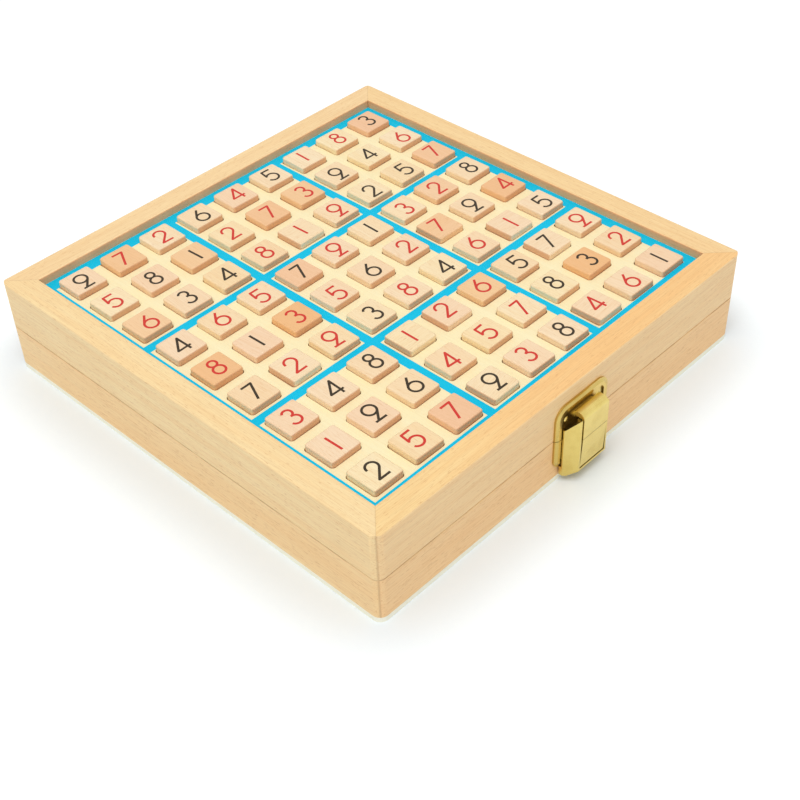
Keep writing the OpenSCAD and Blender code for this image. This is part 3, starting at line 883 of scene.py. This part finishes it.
def smooth_runs(points):
    """The line cut at its sharp corners, and those corners."""
    runs = [[points[0]]]
    corners = []
    for before, here, after in zip(points, points[1:], points[2:]):
        runs[-1].append(here)
        arriving = Vector(here) - Vector(before)
        leaving = Vector(after) - Vector(here)
        if arriving.angle(leaving) > CORNER_TURN:
            corners.append(here)
            runs.append([here])
    runs[-1].append(points[-1])
    return runs, corners


def ring_prism(bm, outer, inner, low, high):
    """A closed solid between two loops with as many points each."""
    loops = [[bm.verts.new((x, y, z)) for x, y in loop] for z in (low, high) for loop in (outer, inner)]
    outer_low, inner_low, outer_high, inner_high = loops
    for i in range(len(outer)):
        j = (i + 1) % len(outer)
        bm.faces.new((outer_low[i], outer_low[j], outer_high[j], outer_high[i]))
        bm.faces.new((inner_low[j], inner_low[i], inner_high[i], inner_high[j]))
        bm.faces.new((outer_high[i], outer_high[j], inner_high[j], inner_high[i]))
        bm.faces.new((outer_low[j], outer_low[i], inner_low[i], inner_low[j]))


def stroke_solids(stroke):
    """Thin solids of one stroke: a ring, or its smooth runs with a round joint at each sharp corner."""
    solids = []
    if math.dist(stroke[0], stroke[-1]) < STROKE / MM / JOINT_SIDES:
        points = [(x * MM, y * MM) for x, y in stroke[:-1]]
        left, right = offset_sides(points, STROKE, True)
        solids.append((right, left))
        return solids
    runs, corners = smooth_runs(stroke)
    for run in runs:
        points = [(x * MM, y * MM) for x, y in run]
        left, right = offset_sides(points, STROKE, False)
        solids.append((right + left[::-1], None))
    for x, y in corners:
        joint = arc(x * MM, y * MM, STROKE / 2, 0, 360 - 360 / JOINT_SIDES)
        solids.append((joint, None))
    return solids


def numeral_mesh(numeral):
    """One numeral as a thin solid round its own middle, made of its strokes joined into one."""
    objects = []
    for outline, hole in [solid for stroke in DIGITS[numeral] for solid in stroke_solids(stroke)]:
        bm = bmesh.new()
        if hole:
            ring_prism(bm, outline, hole, 0, INK_T)
        else:
            prism(bm, outline, 0, INK_T)
        bmesh.ops.recalc_face_normals(bm, faces=bm.faces)
        objects.append(new_object("stroke", bm, black_ink))
    whole = objects[0]
    for other in objects[1:]:
        combined(whole, other, "UNION")
    mesh = whole.data
    bpy.data.objects.remove(whole)
    return mesh


numeral_meshes = {numeral: numeral_mesh(numeral) for numeral in DIGITS}


# Tiles: their small turns and shifts, those of their print, and how warm and how pink their wood is
TILE_TURN = math.radians(1.1)
TILE_SHIFT = 0.1 * MM
PRINT_TURN = math.radians(1.5)
PRINT_SHIFT = 0.5 * MM
PALE_TONE = (0.0, 0.28)
WARM_TONE = (0.5, 0.85)
BLUSH_MOST = 0.45
# Rows and columns of the tiles that are cut from warmer wood, counted from the back left corner
WARM_TILES = {
    (1, 2), (1, 9), (2, 3), (2, 5), (2, 6), (3, 1), (3, 9), (4, 4), (4, 8),
    (5, 1), (5, 3), (5, 7), (5, 9), (7, 6), (8, 8), (9, 3)
}
# Grain: how far apart in the plank the tiles are cut, the share cut crosswise, and its small turn
GRAIN_SPREAD = 0.4
CROSS_SHARE = 0.08
GRAIN_TURN = math.radians(4)


def tile_block():
    """One tile round its own middle, standing on z = 0: rounded upright corners, top edges and foot."""
    bm = bmesh.new()
    bmesh.ops.create_cube(bm, size=1)
    bmesh.ops.transform(bm, matrix=Matrix.Diagonal((TILE_W, TILE_W, TILE_T, 1)), verts=bm.verts)
    bmesh.ops.translate(bm, vec=(0, 0, TILE_T / 2), verts=bm.verts)

    def round_off(radius, segments, wanted):
        edges = [edge for edge in bm.edges if wanted(*[v.co for v in edge.verts])]
        bmesh.ops.bevel(bm, geom=edges, offset=radius, segments=segments, profile=0.5, affect="EDGES")

    near = TILE_FOOT_R / 2
    round_off(TILE_CORNER_R, TILE_CORNER_SEGMENTS, lambda a, b: abs(a.z - b.z) > TILE_T - near)
    round_off(TILE_EDGE_R, TILE_EDGE_SEGMENTS, lambda a, b: min(a.z, b.z) > TILE_T - near)
    round_off(TILE_FOOT_R, TILE_FOOT_SEGMENTS, lambda a, b: max(a.z, b.z) < near)
    return bm


def add_tile(bm, stand, along, plank, tile_tone, tile_blush):
    """Adds a tile at its stand. Its points hold their place in the plank, its tints and their end grain."""
    grain = bm.verts.layers.float_vector["grain_place"]
    tone = bm.verts.layers.float["tone"]
    blush = bm.verts.layers.float["blush"]
    ends = bm.verts.layers.float["end_grain"]
    block = tile_block()
    block.normal_update()
    copies = {}
    for vert in block.verts:
        copy = bm.verts.new(stand @ vert.co)
        copy[grain] = along @ vert.co + plank
        copy[tone] = tile_tone
        copy[blush] = tile_blush
        copy[ends] = abs((along @ vert.normal).x)
        copies[vert] = copy
    for face in block.faces:
        bm.faces.new([copies[vert] for vert in face.verts])
    block.free()


def add_print(bm, mesh, matrix, material_index):
    """Adds a numeral's mesh at its place, in the given ink."""
    first_face = len(bm.faces)
    first_vert = len(bm.verts)
    bm.from_mesh(mesh)
    bm.verts.ensure_lookup_table()
    bm.faces.ensure_lookup_table()
    for vert in bm.verts[first_vert:]:
        vert.co = matrix @ vert.co
    for face in bm.faces[first_face:]:
        face.material_index = material_index


def tile_group(numeral):
    """The nine tiles of one numeral, and the numerals printed on them."""
    blocks = bmesh.new()
    prints = bmesh.new()
    blocks.verts.layers.float_vector.new("grain_place")
    for layer in ("tone", "blush", "end_grain"):
        blocks.verts.layers.float.new(layer)
    for row, numerals in enumerate(PUZZLE):
        column = numerals.index(numeral)
        place = Vector((cell_at(column), cell_at(CELLS - 1 - row), tile_floor))
        place.x += dice.uniform(-TILE_SHIFT, TILE_SHIFT)
        place.y += dice.uniform(-TILE_SHIFT, TILE_SHIFT)
        stand = Matrix.Translation(place) @ Matrix.Rotation(dice.uniform(-TILE_TURN, TILE_TURN), 4, "Z")
        grain_turn = ALONG_X if dice.random() < CROSS_SHARE else ALONG_Y
        along = Matrix.Rotation(-grain_turn - dice.gauss(0, GRAIN_TURN), 4, "Z")
        plank = Vector([dice.uniform(-GRAIN_SPREAD, GRAIN_SPREAD) for axis in range(3)])
        is_warm = (row + 1, column + 1) in WARM_TILES
        tile_tone = dice.uniform(*(WARM_TONE if is_warm else PALE_TONE))
        tile_blush = dice.uniform(0, BLUSH_MOST)
        add_tile(blocks, stand, along, plank, tile_tone, tile_blush)
        shift = Vector((dice.gauss(0, PRINT_SHIFT), dice.gauss(0, PRINT_SHIFT), TILE_T))
        printed = stand @ Matrix.Translation(shift) @ Matrix.Rotation(dice.gauss(0, PRINT_TURN), 4, "Z")
        add_print(prints, numeral_meshes[numeral], printed, "BR".index(INKS[row][column]))
    wood_piece = new_object(f"tiles_{numeral}_wood", blocks, tile_wood)
    for face in wood_piece.data.polygons:
        face.use_smooth = True
    wood_piece.modifiers.new("shade", "WEIGHTED_NORMAL")
    print_piece = new_object(f"tiles_{numeral}_print", prints, black_ink)
    print_piece.data.materials.append(red_ink)
    body = f"tiles_{numeral}"
    for piece in (wood_piece, print_piece):
        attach(piece, body)
    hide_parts(body)


for numeral in DIGITS:
    tile_group(numeral)


# Stage: the floor and its painted glow away from the box, the dome's light and the key light
FLOOR_SIZE = 8.0
FLOOR_WHITE = colour(231, 237, 240)
FLOOR_LIFT = 0.29
LIFT_START = 3 * MM
LIFT_END = 40 * MM
LIFT_ROUNDNESS = 6.0
DOME_WHITE = (1.0, 1.0, 1.0, 1.0)
DOME_STRENGTH = 0.56
KEY_PLACE = Vector((-1.75, -1.15, 5.0))
KEY_SIZE = 3.3
KEY_POWER = 150.0


def seen_directly(tree):
    """1 for rays that show the stage itself: from the camera, from gloss or through glass."""
    path = add(tree, "ShaderNodeLightPath").outputs
    seen_or_mirrored = larger(tree, path["Is Camera Ray"], path["Is Glossy Ray"])
    return larger(tree, seen_or_mirrored, path["Is Transmission Ray"])


def painted_floor_glow(tree):
    """The floor's painted glow, which grows away from the box, so that the box's soft shadow stays and the
    floor round the box stays darker, as a painted shadow.
    """
    across, along = [power(tree, out, LIFT_ROUNDNESS) for out in distances_out(tree)]
    away = power(tree, sum_of(tree, across, along), 1 / LIFT_ROUNDNESS)
    return remap(tree, away, box_half + LIFT_START, box_half + LIFT_END, 0.0, FLOOR_LIFT)


def make_floor():
    """A plain matt floor with a painted glow that lifts it to white away from the box where it is seen."""
    bm = bmesh.new()
    prism(bm, rectangle(0, 0, FLOOR_SIZE, FLOOR_SIZE), -MM, 0)
    material = bpy.data.materials.new("floor")
    material.use_nodes = True
    tree = material.node_tree
    tree.nodes.clear()
    matt = add(tree, "ShaderNodeBsdfDiffuse", {"Color": FLOOR_WHITE})
    painted_lift = product(tree, seen_directly(tree), painted_floor_glow(tree))
    glow = add(tree, "ShaderNodeEmission", {"Strength": painted_lift})
    both = add(tree, "ShaderNodeAddShader", {0: matt.outputs["BSDF"], 1: glow.outputs["Emission"]})
    add(tree, "ShaderNodeOutputMaterial", {"Surface": both.outputs["Shader"]})
    new_object("floor", bm, material)


def make_light():
    """An even dome that looks white, and one large soft lamp."""
    world = bpy.data.worlds.new("dome")
    world.use_nodes = True
    tree = world.node_tree
    tree.nodes.clear()
    levels = {"Value": seen_directly(tree), "To Min": DOME_STRENGTH, "To Max": 1.0}
    strength = add(tree, "ShaderNodeMapRange", levels).outputs["Result"]
    sky = add(tree, "ShaderNodeBackground", {"Color": DOME_WHITE, "Strength": strength})
    add(tree, "ShaderNodeOutputWorld", {"Surface": sky.outputs["Background"]})
    bpy.context.scene.world = world
    lamp = bpy.data.lights.new("key", "AREA")
    lamp.size = KEY_SIZE
    lamp.energy = KEY_POWER
    key = bpy.data.objects.new("key", lamp)
    key.location = KEY_PLACE
    key.rotation_euler = (-KEY_PLACE).to_track_quat("-Z", "Y").to_euler()
    bpy.context.scene.collection.objects.link(key)


def make_camera():
    """The camera, turned a little about its own axis."""
    data = bpy.data.cameras.new("camera")
    data.lens = CAMERA_LENS
    data.sensor_width = CAMERA_SENSOR
    data.clip_start = MM
    camera = bpy.data.objects.new("camera", data)
    flat = math.cos(CAMERA_ELEVATION)
    back = Vector((
        math.sin(CAMERA_AZIMUTH) * flat, -math.cos(CAMERA_AZIMUTH) * flat, math.sin(CAMERA_ELEVATION)
    ))
    right = Vector((math.cos(CAMERA_AZIMUTH), math.sin(CAMERA_AZIMUTH), 0))
    up = back.cross(right)
    tilted_right = math.cos(CAMERA_ROLL) * right + math.sin(CAMERA_ROLL) * up
    tilted_up = math.cos(CAMERA_ROLL) * up - math.sin(CAMERA_ROLL) * right
    turn = Matrix((tilted_right, tilted_up, back)).transposed().to_4x4()
    camera.matrix_world = Matrix.Translation(CAMERA_TARGET + CAMERA_DISTANCE * back) @ turn
    bpy.context.scene.collection.objects.link(camera)
    bpy.context.scene.camera = camera


make_floor()
make_light()
make_camera()
bpy.context.scene.view_settings.view_transform = "Standard"
